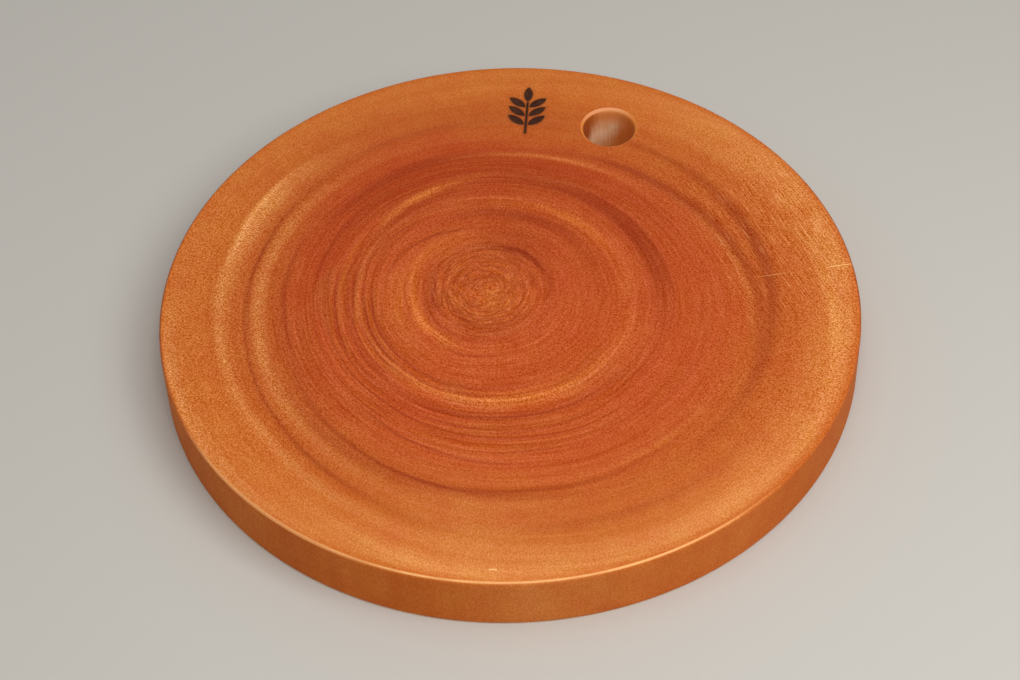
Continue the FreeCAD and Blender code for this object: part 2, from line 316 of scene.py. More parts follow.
class WoodLook(bpy.types.PropertyGroup):
    """Colours and figure of the oiled wood."""

    pith_across: bpy.props.FloatProperty(
        name="Pith across", description="Place of the pith along X", default=-11.0 * MM, unit="LENGTH"
    )
    pith_along: bpy.props.FloatProperty(
        name="Pith along", description="Place of the pith along Y", default=2.0 * MM, unit="LENGTH"
    )
    log_turn: turn("Log turn", "How far the log is turned about its pith", FRONT_BEARING)
    ring_drift: share("Ring drift", "How far the outer rings lie off the pith", 0.2)
    drift_bearing: turn("Drift bearing", "Which way the outer rings lie off the pith", 130)
    inner_oval: share("Inner oval", "How far the inner rings leave the round", 0.04)
    inner_bearing: turn("Inner bearing", "Long way of the inner rings", 0)
    outer_oval: share("Outer oval", "How far the outer rings leave the round", 0.05)
    outer_bearing: turn("Outer bearing", "Long way of the outer rings", -60)
    pith: colour("Pith", "Wood round the pith", 200, 95, 44)
    heart: colour("Heart", "Red-brown wood of the heart", 191, 83, 38)
    deep_heart: colour("Deep heart", "Darkest zone of the heart", 172, 62, 24)
    middle: colour("Middle", "Wood between heart and sap", 192, 95, 40)
    sap: colour("Sap", "Orange wood near the bark", 202, 106, 41)
    # Rim wood: a painted sheen on the work face beside the rim, not the wood's own colour
    rim_sheen: colour("Rim wood", "Paler wood beside the rim", 228, 148, 82)
    # Edge: a painted highlight along the front of the rims
    edge: colour("Edge", "Wood rubbed pale along the rims", 248, 184, 118)
    dark_ring: colour("Dark ring", "Late wood in the dark rings", 138, 40, 14)
    # Light ring colours: paler wood, with painted sheen in the light rings
    light_heart: colour("Light heart ring", "Figure in the light rings of the heart", 236, 136, 62)
    light_sap: colour("Light sap ring", "Figure in the light rings near the bark", 248, 172, 98)
    gloss: colour("Gloss", "Tint of the oil's gloss", 255, 214, 150)
    scratch: colour("Scratch", "Pale wood in scratches and sanding lines", 255, 196, 124)
    # Old edge: painted shade on the rims away from the front, and on one flank of the hole's wall
    painted_shade: colour("Old edge", "Darkened rim away from the rubbed part", 150, 62, 12)
    bore: colour("Bore", "Oiled wood on the hole's wall", 230, 136, 56)
    # Dust: partly pale dust, partly painted light bounced from the floor onto the hole's far wall
    dust_and_bounce: colour("Dust", "Pale wood dust on the hole's wall", 236, 190, 146)
    # Chamfer: the cut wood's colour, laid only on the chamfer's far side, so partly a painted highlight
    chamfer: colour("Chamfer", "Fresh cut wood on the hole's chamfer", 230, 152, 98)
    char: colour("Char", "Burned floor of the mark", 58, 30, 18)
    light_strength: share("Light ring strength", "How far the light rings show", 0.66)
    dark_strength: share("Dark ring strength", "How far the dark rings show", 0.62)
    fine_strength: share("Fine ring strength", "How far the thin rings show", 0.40)
    fine_edge_strength: share("Fine edge strength", "How far the pale edges of the thin rings show", 0.22)
    scorch_strength: share("Scorch strength", "How far the wood beside the mark is scorched", 0.7)
    oil_strength: share("Oil strength", "How far the oil hides the log's colour on the hole's wall", 0.8)
    roughness: share("Roughness", "Roughness of the oiled finish", 0.52)
    ray_length: length("Ray length", "Length of the fine strokes that run out from the pith", 1.5 * MM)
    ray_pitch: length("Ray pitch", "Spacing of those strokes", 0.52 * MM)
    # Worn bearing: middle of the painted highlight on the rim; the painted shade on the rims and in the hole
    # turns from it too
    highlight_bearing: turn(
        "Worn bearing", "Middle of the rubbed part of the rim, from -Y towards +X", FRONT_BEARING
    )
    # Pale bearing: where the painted sheen beside the rim is strongest
    sheen_bearing: turn("Pale bearing", "Where the wood beside the rim is palest, from -Y towards +X", 80)
    sanding_turn: turn("Sanding turn", "Direction of the sanding lines, from +X towards +Y", -43)
    sanded_across: length("Sanded across", "Middle of the sanding lines along X", 80 * MM)
    sanded_along: length("Sanded along", "Middle of the sanding lines along Y", 66 * MM)


class StageLook(bpy.types.PropertyGroup):
    """Floor, light and camera."""

    floor: colour("Floor", "Plain pale floor", 196, 192, 184)
    daylight: share("Daylight", "Strength of the even light from all round", 0.35)
    light_from_below: share("Light from below", "Strength of the light that the resting face gets", 0.9)
    lens: share("Lens", "Focal length, in millimetres on a 36 mm sensor", 87.42, 500.0)
    elevation: turn("Elevation", "Camera's height above the horizon", 47.955)
    azimuth: turn("Azimuth", "Camera's turn about the block, from -Y towards +X", FRONT_BEARING)
    roll: turn("Roll", "Camera's turn about its own line of sight", -2.139)
    depth: length("Depth", "Camera to the middle of the work face, along the line of sight", 0.9908)
    centre_across: share("Centre across", "Pixel column of the work face's middle", 509.27, PICTURE_WIDTH)
    centre_down: share("Centre down", "Pixel row of the work face's middle", 300.83, PICTURE_HEIGHT)


class Wiring:
    """Adds nodes to one tree and links them, so that a material reads like a sum."""

    def __init__(self, tree):
        self.tree = tree

    def node(self, kind, **settings):
        """Add a node of that kind."""
        made = self.tree.nodes.new(kind)
        for name, value in settings.items():
            setattr(made, name, value)
        return made

    def feed(self, socket, value):
        """Link an output to a socket, or set the socket's own value."""
        if isinstance(value, bpy.types.NodeSocket):
            self.tree.links.new(value, socket)
        elif socket.type == "RGBA":
            socket.default_value = (*value, 1.0)
        else:
            socket.default_value = value

    def fed(self, made, *values):
        """Feed a node's first inputs in their order."""
        for socket, value in zip(made.inputs, values):
            self.feed(socket, value)
        return made

    def maths(self, operation, *values):
        """One sum of plain numbers."""
        return self.fed(self.node("ShaderNodeMath", operation=operation), *values).outputs[0]

    def times(self, first, *others):
        """Numbers multiplied together."""
        for other in others:
            first = self.maths("MULTIPLY", first, other)
        return first

    def plus(self, first, second):
        """Two numbers added."""
        return self.maths("ADD", first, second)

    def added(self, amount, gain, base):
        """An amount times its gain, on top of a base."""
        return self.maths("MULTIPLY_ADD", amount, gain, base)

    def vector(self, operation, *values):
        """One sum of vectors; a length or a dot product comes out as a number."""
        made = self.fed(self.node("ShaderNodeVectorMath", operation=operation), *values)
        return made.outputs["Value" if operation in ("LENGTH", "DOT_PRODUCT") else "Vector"]

    def dot(self, first, second):
        """How far one vector reaches along another."""
        return self.vector("DOT_PRODUCT", first, second)

    def flat(self, vector):
        """A vector without its height."""
        return self.vector("MULTIPLY", vector, (1.0, 1.0, 0.0))

    def scaled(self, vector, by):
        """A vector or colour times a number."""
        made = self.node("ShaderNodeVectorMath", operation="SCALE")
        self.feed(made.inputs["Vector"], vector)
        self.feed(made.inputs["Scale"], by)
        return made.outputs["Vector"]

    def turned(self, vector, angle):
        """A vector turned about +Z."""
        made = self.node("ShaderNodeVectorRotate", rotation_type="Z_AXIS")
        self.feed(made.inputs["Vector"], vector)
        self.feed(made.inputs["Angle"], angle)
        return made.outputs[0]

    def parts(self, vector):
        """The three numbers of a vector."""
        return self.fed(self.node("ShaderNodeSeparateXYZ"), vector).outputs

    def joined(self, x, y, z):
        """A vector of three numbers."""
        return self.fed(self.node("ShaderNodeCombineXYZ"), x, y, z).outputs[0]

    def span(self, value, low, high, least=0.0, most=1.0):
        """A number eased from least to most while value goes from low to high."""
        made = self.node("ShaderNodeMapRange", interpolation_type="SMOOTHSTEP")
        return self.fed(made, value, low, high, least, most).outputs[0]

    def noise(self, place, scale, detail=2.0, roughness=0.5):
        """Soft noise, from 0 to 1 about a half."""
        made = self.node("ShaderNodeTexNoise")
        self.feed(made.inputs["Vector"], place)
        self.feed(made.inputs["Scale"], scale)
        self.feed(made.inputs["Detail"], detail)
        self.feed(made.inputs["Roughness"], roughness)
        return made.outputs[0]

    def swing(self, place, scale, detail=2.0, roughness=0.5):
        """Soft noise about zero."""
        return self.maths("SUBTRACT", self.noise(place, scale, detail, roughness), 0.5)

    def mixed(self, amount, first, second):
        """A colour between two others."""
        made = self.node("ShaderNodeMix", data_type="RGBA", clamp_factor=True)
        self.feed(made.inputs[0], amount)
        self.feed(made.inputs[6], first)
        self.feed(made.inputs[7], second)
        return made.outputs[2]

    def group(self, tree, **inputs):
        """Place a node group, and give back its outputs."""
        made = self.node("ShaderNodeGroup", node_tree=tree)
        for name, value in inputs.items():
            self.feed(made.inputs[name.replace("_", " ").capitalize()], value)
        return made.outputs


def new_group(name, inputs, outputs):
    """An empty node group with named sockets, its wiring, its inputs and where its outputs go."""
    tree = bpy.data.node_groups.new(name, "ShaderNodeTree")
    for label, kind in inputs:
        tree.interface.new_socket(label, in_out="INPUT", socket_type=f"NodeSocket{kind}")
    for label, kind in outputs:
        tree.interface.new_socket(label, in_out="OUTPUT", socket_type=f"NodeSocket{kind}")
    wiring = Wiring(tree)
    given = wiring.node("NodeGroupInput").outputs
    asked = wiring.node("NodeGroupOutput").inputs
    return wiring, given, asked


def towards(bearing):
    """A level direction, from a bearing that starts at -Y and turns towards +X."""
    return math.sin(bearing), -math.cos(bearing), 0.0


def ring_band_group():
    """One growth ring: a soft line at a place, strongest towards a heading.

    Around holds the point's bearing and its ring; Slant makes the ring's own place climb with the bearing.
    """
    inputs = [(label, "Vector") for label in ("Around", "Heading", "Slant")]
    inputs += [(label, "Float") for label in ("Place", "Width", "Strength", "Focus")]
    w, given, asked = new_group("Ring band", inputs, [("Band", "Float")])
    ahead = w.dot(given["Around"], given["Heading"])
    off = w.maths("SUBTRACT", w.dot(given["Around"], given["Slant"]), given["Place"])
    off = w.maths("DIVIDE", off, given["Width"])
    turned_away = w.times(w.maths("SUBTRACT", ahead, 1.0), given["Focus"])
    fade = w.maths("SUBTRACT", turned_away, w.times(off, off))
    w.feed(asked["Band"], w.times(w.maths("EXPONENT", fade), given["Strength"]))
    return w.tree


def ring_band(w, band_tree, around, place, width, strength, bearing, reach, climb):
    """Place one ring in a tree, and give back its level."""
    heading = math.radians(bearing)
    sine = math.sin(heading)
    cosine = math.cos(heading)
    band = w.group(
        band_tree,
        around=around,
        heading=(sine, cosine, 0.0),
        slant=(-climb * cosine, climb * sine, 1.0),
        place=place,
        width=width,
        strength=strength,
        focus=1 / (1 - math.cos(math.radians(reach))),
    )
    return band["Band"]


def summed_bands(w, band_tree, around, table):
    """All the rings of a table, added up."""
    total = 0.0
    for ring in table:
        total = w.plus(total, ring_band(w, band_tree, around, *ring))
    return total


def ring_wave(w, bearing, waves, heading, amount):
    """A wave round the pith, with a crest at one heading."""
    angle = w.times(w.maths("SUBTRACT", bearing, heading), float(waves))
    return w.times(w.maths("COSINE", angle), amount)


def growth_ring_group(look, sizes):
    """Which growth ring a point lies on, from 0 at the pith to about 1 at the rim, and its bearing."""
    outputs = [("Ring", "Float"), ("Sine", "Float"), ("Cosine", "Float")]
    w, given, asked = new_group("Growth rings", [("Place", "Vector")], outputs)
    per_radius = 2 / sizes.diameter
    from_pith = w.vector("SUBTRACT", given["Place"], (look.pith_across, look.pith_along, 0.0))
    flat = w.vector("MULTIPLY", from_pith, (per_radius, per_radius, 0.0))
    reach = w.vector("LENGTH", flat)
    sine, cosine = w.parts(w.turned(w.vector("NORMALIZE", flat), -look.log_turn))[:2]
    bearing = w.maths("ARCTAN2", sine, cosine)
    inner = ring_wave(w, bearing, 2, look.inner_bearing, look.inner_oval)
    outer = ring_wave(w, bearing, 2, look.outer_bearing, look.outer_oval)
    drifted = ring_wave(w, bearing, 1, look.drift_bearing, look.ring_drift)
    lead = w.plus(inner, 1.0)
    swell = w.plus(drifted, w.maths("SUBTRACT", outer, inner))
    # The ring solves reach = ring * (lead + swell * ring)
    inside = w.added(w.times(swell, 4.0), reach, w.times(lead, lead))
    below = w.plus(lead, w.maths("SQRT", w.maths("MAXIMUM", inside, 0.0)))
    ring = w.maths("DIVIDE", w.times(reach, 2.0), below)
    waver = w.swing(w.joined(sine, cosine, ring), 2.4, 1.0)
    ring = w.added(waver, RING_WAVER_SHARE, ring)
    wander = w.swing(given["Place"], *RING_WANDER)
    ring = w.added(wander, w.span(ring, *PITH_SPAN, *WANDER_SHARES), ring)
    w.feed(asked["Ring"], ring)
    w.feed(asked["Sine"], sine)
    w.feed(asked["Cosine"], cosine)
    return w.tree


def swung(w, tone, amount, swing):
    """A tone made lighter or darker by an amount, with each colour swinging by its own share."""
    factor = w.vector("MULTIPLY_ADD", swing, amount, (1.0, 1.0, 1.0))
    return w.vector("MULTIPLY", tone, factor)


def ring_noise(w, around, turns, rings, detail=2.0, roughness=0.5):
    """Noise about zero, drawn out along the rings: so coarse round the pith, so fine across the rings."""
    return w.swing(w.vector("MULTIPLY", around, (turns, turns, rings)), 1.0, detail, roughness)


def fine_lines(w, around, pitch, sharpness, curl=0.8):
    """Thin rings, longer the less they curl, where a stretched noise passes its middle."""
    crossing = w.times(ring_noise(w, around, curl, pitch, 1.0), sharpness)
    return w.maths("EXPONENT", w.times(crossing, crossing, -1.0))


def zone_colour(w, band_tree, around, look):
    """The log's slow change of colour from pith to bark."""
    ring = w.parts(around)[2]
    # On the hole's side the red heart reaches further out
    late = ring_band(w, band_tree, around, *LATE_HEART_SHARES)
    ring = w.maths("SUBTRACT", ring, late)
    tone = w.mixed(w.span(ring, *HEART_SPAN), look.pith, look.heart)
    tone = w.mixed(ring_band(w, band_tree, around, *DEEP_HEART_SHARES), tone, look.deep_heart)
    tone = w.mixed(w.span(ring, *MIDDLE_SPAN), tone, look.middle)
    return w.mixed(w.span(ring, *SAP_SPAN), tone, look.sap)


def main_rings(w, band_tree, around, strokes):
    """How dark and how light the log's main rings make a point; the light ones are partly painted sheen."""
    patches = w.span(ring_noise(w, around, *RING_PATCHES), -0.20, 0.22, 0.78, 1.1)
    dark = w.times(summed_bands(w, band_tree, around, DARK_RING_SHARES), patches)
    # The rays give the light rings feathery edges, most of all near the bark
    feather = w.times(strokes, w.span(w.parts(around)[2], 0.5, 0.75, 0.008, 0.03))
    feathered = w.vector("ADD", around, w.joined(0.0, 0.0, feather))
    light = w.times(summed_bands(w, band_tree, feathered, LIGHT_RING_AND_SHEEN_SHARES), patches)
    return dark, light


def sheen_towards_rim(w, place, tone, look, sizes):
    """A tone made paler towards the rim by a painted sheen, as far as the face goes."""
    radius = sizes.diameter / 2
    rounding = sizes.rim_rounding
    reach = w.vector("LENGTH", w.flat(place))
    out = w.vector("NORMALIZE", w.flat(place))
    sheen_side = w.dot(out, towards(look.sheen_bearing))
    beside_rim = w.times(w.span(reach, 0.80 * radius, radius), w.span(sheen_side, -0.5, 0.5, 0.18, 0.60))
    on_face = w.span(reach, radius - 3.5 * rounding, radius - 0.3 * rounding, 1.0, 0.0)
    tone = w.mixed(w.times(beside_rim, on_face), tone, look.rim_sheen)
    # Left of the front the last few millimetres carry a stronger painted sheen
    left_of_front = w.dot(out, towards(look.highlight_bearing + SHEEN_STRIP_TURN))
    strip = w.span(reach, radius - 5 * rounding, radius - 2 * rounding)
    short_of_side = w.span(reach, radius - rounding, radius - 0.3 * rounding, 1.0, 0.0)
    strip = w.times(strip, short_of_side, w.span(left_of_front, 0.82, 0.97, 0.0, 0.42))
    return w.mixed(strip, tone, look.rim_sheen)


def fine_rings(w, around, tone, look, in_heart, clear_side):
    """A tone with the thin rings drawn over it."""
    come_and_go = w.span(ring_noise(w, around, *COMING_AND_GOING), -0.18, 0.08)
    shown = w.times(come_and_go, in_heart, clear_side)
    wide = fine_lines(w, around, *WIDE_LINES)
    lines = w.added(fine_lines(w, around, *NARROW_LINES), 0.7, wide)
    tone = w.mixed(w.times(lines, shown, look.fine_strength), tone, look.dark_ring)
    # Each wide one has a paler edge towards the pith: a painted highlight, as on a ridge lit from one side
    lit = fine_lines(w, w.vector("ADD", around, (0.0, 0.0, PALE_EDGE_SHARE)), *WIDE_LINES)
    tone = w.mixed(w.times(lit, shown, look.fine_edge_strength), tone, look.light_heart)
    # Round the pith they are short and curled
    near_pith = w.span(w.parts(around)[2], 0.14, 0.24, 0.34, 0.0)
    return w.mixed(w.times(fine_lines(w, around, *CURLED_LINES), near_pith), tone, look.dark_ring)


def grain_swing(w, around, in_heart, clear_side):
    """How far the grain between the rings makes a point lighter or darker."""
    ring = w.parts(around)[2]
    swing = w.times(ring_noise(w, around, *FINE_RIPPLES), in_heart, 0.45)
    swing = w.added(ring_noise(w, around, *BROAD_RIPPLES), 0.28, swing)
    # In the heart the grain itself lies along the rings
    grain = w.times(ring_noise(w, around, *HEART_GRAIN), w.span(clear_side, 0.3, 0.8, 0.6, 1.0))
    swing = w.added(grain, w.span(ring, 0.55, 0.75, 0.95, 0.2), swing)
    curls = ring_noise(w, around, *PITH_CURLS)
    return w.added(curls, w.span(ring, 0.14, 0.30, 0.5, 0.0), swing)


def log_wood_group(look, sizes, ray_tree):
    """The log's colour at any point, with painted sheen beside the rim and in the light rings, where its
    light rings lie, and where its heart is.
    """
    outputs = [("Color", "Color"), ("Light", "Float"), ("Heart", "Float")]
    w, given, asked = new_group("Log wood", [("Place", "Vector")], outputs)
    rings = w.group(growth_ring_group(look, sizes), place=given["Place"])
    ring = rings["Ring"]
    around = w.joined(rings["Sine"], rings["Cosine"], ring)
    band_tree = ring_band_group()
    strokes = w.group(ray_tree, place=given["Place"])["Strokes"]
    dark, light = main_rings(w, band_tree, around, strokes)
    tone = sheen_towards_rim(w, given["Place"], zone_colour(w, band_tree, around, look), look, sizes)
    # The light rings' colour is paler figure, partly a painted sheen
    figure = w.mixed(w.span(ring, 0.5, 0.8), look.light_heart, look.light_sap)
    tone = w.mixed(w.times(light, look.light_strength), tone, figure)
    tone = w.mixed(w.times(dark, look.dark_strength), tone, look.dark_ring)
    # Fine rings and grain are clearest in the heart, on the side away from the hole
    past_pith = w.plus(w.span(ring, 0.30, 0.38, 0.3, 1.0), w.span(ring, 0.15, 0.22, 0.7, 0.0))
    in_heart = w.times(w.span(ring, 0.50, 0.66, 1.0, 0.22), past_pith)
    clear_side = w.plus(ring_band(w, band_tree, around, *CLEAR_SIDE_SHARES), 0.3)
    tone = fine_rings(w, around, tone, look, in_heart, clear_side)
    tone = swung(w, tone, grain_swing(w, around, in_heart, clear_side), TONE_SWING)
    # Slow mottling between redder and yellower wood
    tone = swung(w, tone, w.swing(given["Place"], *MOTTLES), MOTTLE_SWING)
    w.feed(asked["Color"], tone)
    w.feed(asked["Light"], light)
    w.feed(asked["Heart"], w.span(ring, 0.55, 0.75, 1.0, 0.0))
    return w.tree


def ray_group(look):
    """Rays: short pale and dark strokes that run out from the pith."""
    w, given, asked = new_group("Rays", [("Place", "Vector")], [("Strokes", "Float")])
    flat = w.flat(w.vector("SUBTRACT", given["Place"], (look.pith_across, look.pith_along, 0.0)))
    out = w.vector("NORMALIZE", flat)
    strokes = -0.5
    for step in (-1, 0, 1):
        moved = w.vector("ADD", given["Place"], w.scaled(out, step * look.ray_length / 3))
        strokes = w.added(w.noise(moved, 1 / look.ray_pitch, 1.0), 1 / 3, strokes)
    clear_of_pith = w.span(w.vector("LENGTH", flat), *RAY_START_SPAN, 0.3, 1.0)
    w.feed(asked["Strokes"], w.times(strokes, clear_of_pith))
    return w.tree


def pore_group():
    """Cut ends of the wood's vessels: fine specks on the faces."""
    w, given, asked = new_group("Pores", [("Place", "Vector")], [("Specks", "Float"), ("Pits", "Float")])
    w.feed(asked["Specks"], w.swing(given["Place"], *SPECKS))
    w.feed(asked["Pits"], w.span(w.noise(given["Place"], *PITS), 0.62, 0.74))
    return w.tree


def fibre_group():
    """Long grain: streaks that run with the log's length, up the side and the hole's wall."""
    w, given, asked = new_group("Fibres", [("Place", "Vector")], [("Streaks", "Float")])
    stretched = w.vector("MULTIPLY", given["Place"], STREAK_STRETCH)
    coarse = w.swing(stretched, *COARSE_STREAKS)
    fine = w.swing(stretched, *FINE_STREAKS)
    w.feed(asked["Streaks"], w.added(coarse, 0.7, fine))
    return w.tree


def new_material(name):
    """A material with its wiring, its shader and its object coordinates."""
    material = bpy.data.materials.new(name)
    material.use_nodes = True
    material.node_tree.nodes.clear()
    w = Wiring(material.node_tree)
    shader = w.node("ShaderNodeBsdfPrincipled")
    out = w.node("ShaderNodeOutputMaterial")
    w.feed(out.inputs["Surface"], shader.outputs["BSDF"])
    place = w.node("ShaderNodeTexCoord")
    return material, w, shader.inputs, place.outputs


def bumped(w, height, strength, distance):
    """A normal from a height."""
    bump = w.node("ShaderNodeBump")
    w.feed(bump.inputs["Height"], height)
    bump.inputs["Strength"].default_value = strength
    bump.inputs["Distance"].default_value = distance
    return bump.outputs["Normal"]


def near_line(w, place, start, end, width):
    """How near a point lies to a straight line between two places, and how far along it, from 0 to 1."""
    along = end - start
    off = w.flat(w.vector("SUBTRACT", place, start))
    passed = w.maths("DIVIDE", w.dot(off, along), along.length_squared)
    inside = w.fed(w.node("ShaderNodeClamp"), passed).outputs[0]
    gap = w.vector("LENGTH", w.vector("SUBTRACT", off, w.scaled(along, inside)))
    return w.span(gap, 0.3 * width, width, 1.0, 0.0), inside


def sanding_lines(w, place, look, sizes):
    """Hairlines that sanding left, all one way, on one part of the work face."""
    turned = w.turned(place, -look.sanding_turn)
    hairs = w.swing(w.vector("MULTIPLY", turned, HAIRS_PER_METRE), 1.0, 1.0)
    spot = (look.sanded_across, look.sanded_along, sizes.thickness)
    off = w.vector("LENGTH", w.vector("SUBTRACT", place, spot))
    return w.times(hairs, w.span(off, *SANDED_SPAN, 1.4, 0.0))


def scratches(w, place):
    """One long scratch that runs out to the rim, and a nick at the front."""
    long, along = near_line(w, place, SCRATCH_START, SCRATCH_END, SCRATCH_WIDTH)
    # It is faint along the middle, and clear where it ends
    patchy = w.plus(w.span(along, 0.05, 0.20, 0.0, 0.32), w.span(along, 0.30, 0.45, 0.0, -0.24))
    long = w.times(long, w.plus(patchy, w.span(along, 0.72, 0.80, 0.0, 0.8)))
    nick, _ = near_line(w, place, NICK_START, NICK_END, NICK_WIDTH)
    return w.maths("MAXIMUM", long, w.times(nick, 0.8))


def grain_detail(w, place, log, pores, trees, look, sizes):
    """Fine swings of tone on the faces and the side, and the hairlines among them."""
    rays = w.group(trees["rays"], place=place["Object"])
    fibres = w.group(trees["fibres"], place=place["Object"])
    # Specks are strongest across the middle, and finer towards the front and the back
    off_middle = w.dot(place["Object"], towards(look.highlight_bearing))
    off_middle = w.maths("ABSOLUTE", off_middle)
    speck_gain = w.span(off_middle, 0.15 * sizes.diameter, 0.42 * sizes.diameter, 1.1, 0.5)
    # In the light rings the specks are stronger: a painted sparkle of their sheen
    sparkle = w.added(w.maths("MINIMUM", log["Light"], 1.0), 2.4, 0.9)
    on_face = w.times(pores["Specks"], w.added(log["Heart"], -0.3, 1.75))
    on_face = w.times(w.added(rays["Strokes"], sparkle, on_face), speck_gain)
    hairlines = w.times(sanding_lines(w, place["Object"], look, sizes), w.added(log["Heart"], -0.6, 1.0))
    on_face = w.plus(hairlines, on_face)
    on_side = w.added(pores["Specks"], 0.8, w.times(fibres["Streaks"], 0.05))
    detail = w.node("ShaderNodeMix", data_type="FLOAT")
    w.feed(detail.inputs[0], w.span(w.maths("ABSOLUTE", w.parts(place["Normal"])[2]), 0.35, 0.85))
    w.feed(detail.inputs[2], on_side)
    w.feed(detail.inputs[3], on_face)
    return detail.outputs[0], hairlines


def rim_shade_and_highlight(w, place, tone, look):
    """A tone with painted shade on the rims away from the front and a painted highlight along the front, and
    where the rims are.
    """
    upright = w.maths("ABSOLUTE", w.parts(place["Normal"])[2])
    out = w.vector("NORMALIZE", w.flat(place["Object"]))
    ahead = w.dot(out, towards(look.highlight_bearing))
    # Painted shade: they are darkest away from the front
    on_rim = w.times(w.span(upright, 0.05, 0.35), w.span(upright, 0.78, 0.95, 1.0, 0.0))
    tone = w.mixed(w.times(on_rim, w.span(ahead, -0.1, 0.45, 0.72, 0.0)), tone, look.painted_shade)
    # Painted highlight: along the front only their crest is pale; left of the front more of them is, but less
    # so
    crest = w.times(w.span(upright, 0.48, 0.78), w.span(upright, 0.90, 0.995, 1.0, 0.0))
    patchy = w.span(w.noise(place["Object"], *HIGHLIGHT_PATCHES), 0.25, 0.65, 0.6, 1.0)
    highlit = w.times(crest, patchy, w.span(ahead, 0.68, 0.97, 0.0, 0.95))
    left_of_front = w.dot(out, towards(look.highlight_bearing + SOFT_HIGHLIGHT_TURN))
    softly = w.times(w.span(upright, 0.20, 0.60), w.span(left_of_front, 0.91, 0.99, 0.0, 0.52))
    softly = w.times(softly, w.span(upright, 0.94, 0.998, 1.0, 0.0))
    return w.mixed(w.maths("MAXIMUM", highlit, softly), tone, look.edge), on_rim


def oiled_wood(look, sizes, trees):
    """Sanded and oiled wood: end grain on the faces, long grain round the side."""
    material, w, shader, place = new_material("oiled wood")
    log = w.group(trees["log"], place=place["Object"])
    pores = w.group(trees["pores"], place=place["Object"])
    facing_up = w.parts(place["Normal"])[2]
    detail, hairlines = grain_detail(w, place, log, pores, trees, look, sizes)
    tone, on_rim = rim_shade_and_highlight(w, place, swung(w, log["Color"], detail, TONE_SWING), look)
    marks = w.maths("MAXIMUM", w.span(hairlines, 0.16, 0.40, 0.0, 0.36), scratches(w, place["Object"]))
    tone = w.mixed(w.times(marks, w.span(facing_up, 0.5, 0.9)), tone, look.scratch)
    scorch = w.node("ShaderNodeAttribute", attribute_name="scorch").outputs["Fac"]
    w.feed(shader["Base Color"], w.mixed(w.times(scorch, look.scorch_strength), tone, look.char))
    roughness = w.added(w.swing(place["Object"], *GLOSS_PATCHES), 0.16, look.roughness)
    roughness = w.added(pores["Pits"], 0.10, roughness)
    roughness = w.plus(roughness, w.span(w.maths("ABSOLUTE", facing_up), 0.2, 0.6, 0.25, 0.0))
    w.feed(shader["Roughness"], w.added(on_rim, -0.12, roughness))
    height = w.added(pores["Pits"], -0.5, w.times(detail, 0.8))
    w.feed(shader["Normal"], bumped(w, height, 0.08, 0.1 * MM))
    shader["Specular IOR Level"].default_value = 0.18
    shader["Specular Tint"].default_value = (*look.gloss, 1.0)
    return material


def dust_and_bounce_level(w, place, from_hole, streaks, look, sizes):
    """A pale patch on the hole's far wall, partly dust and partly painted light bounced from the floor, most
    of it half way up, leaning and with ragged edges.
    """
    radius = sizes.hole_diameter / 2
    pale_wall = look.highlight_bearing + PALE_WALL_TURN
    height = w.maths("DIVIDE", w.parts(from_hole)[2], sizes.thickness)
    beside = w.dot(from_hole, towards(pale_wall + QUARTER))
    lean = w.added(height, -1.0, 0.5)
    far = w.added(beside, lean, w.dot(from_hole, towards(pale_wall)))
    far = w.added(streaks, 0.3 * radius, far)
    half_way_up = w.times(w.span(height, 0.0, 0.5, 0.15, 1.1), w.span(height, 0.5, 0.85, 1.0, 0.12))
    wall_patches = w.span(w.noise(place, *PALE_WALL_PATCHES), 0.25, 0.75, 0.75, 1.15)
    return w.times(half_way_up, wall_patches, w.span(far, 0.66 * radius, 1.03 * radius))


def bored_wood(look, sizes, trees):
    """Bare wood where the hole was drilled and its mouths were cut back."""
    material, w, shader, place = new_material("bored wood")
    log = w.group(trees["log"], place=place["Object"])
    streaks = w.group(trees["fibres"], place=place["Object"])["Streaks"]
    from_hole = w.vector("SUBTRACT", place["Object"], (0.0, sizes.hole_reach, 0.0))
    radius = sizes.hole_diameter / 2
    on_chamfer = w.span(w.vector("LENGTH", w.flat(from_hole)), radius, radius + sizes.hole_chamfer / 3)
    # Painted shade: the oiled wall is darkest on one flank
    flank = w.dot(from_hole, towards(look.highlight_bearing - QUARTER))
    darkest = w.times(w.span(flank, 0.0, 0.9 * radius), w.maths("SUBTRACT", 0.85, on_chamfer))
    tone = w.mixed(look.oil_strength, log["Color"], w.mixed(darkest, look.bore, look.painted_shade))
    # Pale patch on the far wall: partly dust, partly painted bounce light
    tone = w.mixed(dust_and_bounce_level(w, place["Object"], from_hole, streaks, look, sizes), tone, look.dust_and_bounce)
    # Pale cut wood shows only on the far side of the chamfer: partly its own colour, partly a painted
    # highlight
    cut_side = w.dot(from_hole, towards(look.highlight_bearing + LIT_CHAMFER_TURN))
    bare_and_lit = w.times(on_chamfer, w.span(cut_side, 0.45 * radius, 0.9 * radius, 0.0, 0.95))
    tone = w.mixed(bare_and_lit, tone, look.chamfer)
    w.feed(shader["Base Color"], swung(w, tone, w.times(streaks, 0.2), TONE_SWING))
    w.feed(shader["Roughness"], w.added(streaks, 0.2, 0.6))
    shader["Specular IOR Level"].default_value = 0.25
    drilled = w.noise(w.vector("MULTIPLY", place["Object"], DRILL_RINGS_PER_METRE), 1.0)
    w.feed(shader["Normal"], bumped(w, w.added(drilled, 0.5, streaks), 0.25, 0.15 * MM))
    return material


